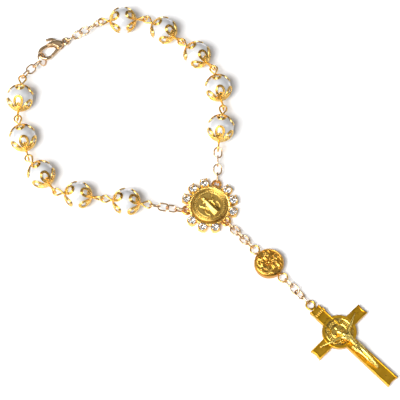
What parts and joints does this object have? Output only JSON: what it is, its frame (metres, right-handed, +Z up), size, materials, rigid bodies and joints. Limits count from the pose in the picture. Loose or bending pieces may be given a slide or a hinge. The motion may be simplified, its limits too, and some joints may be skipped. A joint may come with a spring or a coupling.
{
  "type": "rosary bracelet",
  "caption": "Bracelet loop of faux pearls in pierced caps, with a stone-framed round medal centre, a lobster clasp and a pendant chain carrying a flower disc and a crucifix.",
  "frame": {"origin": "middle of the outline seen from above, on the surface the bracelet lies on", "axes": "+X to the right and +Y to the far side as the picture shows it, +Z up from the surface"},
  "size_m": [0.1186, 0.1241, 0.0082],
  "materials": {
    "pearl": "pearl coat, gloss",
    "gold_warm": "polished warm gold plating",
    "gold_pale": "polished pale gold plating",
    "gold_yellow": "cast, polished yellow gold plating with darker recesses",
    "crystal": "cut clear crystal"
  },
  "bodies": {
    "bracelet": {"pearl_01": "pearl", "pearl_02": "pearl", "pearl_03": "pearl", "pearl_04": "pearl", "pearl_05": "pearl", "pearl_06": "pearl", "pearl_07": "pearl", "pearl_08": "pearl", "pearl_09": "pearl", "pearl_10": "pearl", "cap_01a": "gold_warm", "cap_01b": "gold_warm", "cap_02a": "gold_warm", "cap_02b": "gold_warm", "cap_03a": "gold_warm", "cap_03b": "gold_warm", "cap_04a": "gold_warm", "cap_04b": "gold_warm", "cap_05a": "gold_warm", "cap_05b": "gold_warm", "cap_06a": "gold_warm", "cap_06b": "gold_warm", "cap_07a": "gold_warm", "cap_07b": "gold_warm", "cap_08a": "gold_warm", "cap_08b": "gold_warm", "cap_09a": "gold_warm", "cap_09b": "gold_warm", "cap_10a": "gold_warm", "cap_10b": "gold_warm", "eye_pin_01": "gold_warm", "eye_pin_02": "gold_warm", "eye_pin_03": "gold_warm", "eye_pin_04": "gold_warm", "eye_pin_05": "gold_warm", "eye_pin_06": "gold_warm", "eye_pin_07": "gold_warm", "eye_pin_08": "gold_warm", "eye_pin_09": "gold_warm", "eye_pin_10": "gold_warm", "chain_right": "gold_pale", "chain_left": "gold_pale", "chain_pendant_upper": "gold_pale", "chain_pendant_lower": "gold_pale", "chain_clasp": "gold_pale", "chain_end": "gold_pale", "jump_ring": "gold_pale", "clasp_body": "gold_pale", "clasp_pin": "gold_pale", "stone_frame": "gold_yellow", "rhinestones": "crystal", "centre_medal": "gold_yellow", "flower_disc": "gold_yellow", "disc_pin": "gold_warm", "crucifix": "gold_yellow", "corpus": "gold_yellow"},
    "lever": {"clasp_lever": "gold_pale"}
  },
  "joints": [
    {"name": "clasp_lever_hinge", "type": "hinge", "parent": "bracelet", "child": "lever", "pos_m": [-0.04365, 0.05005, 0.0013], "axis": [0, 0, -1], "range_deg": [0, 28], "stiffness_Nm_per_rad": 0.002, "springref_deg": -11.46}
  ]
}
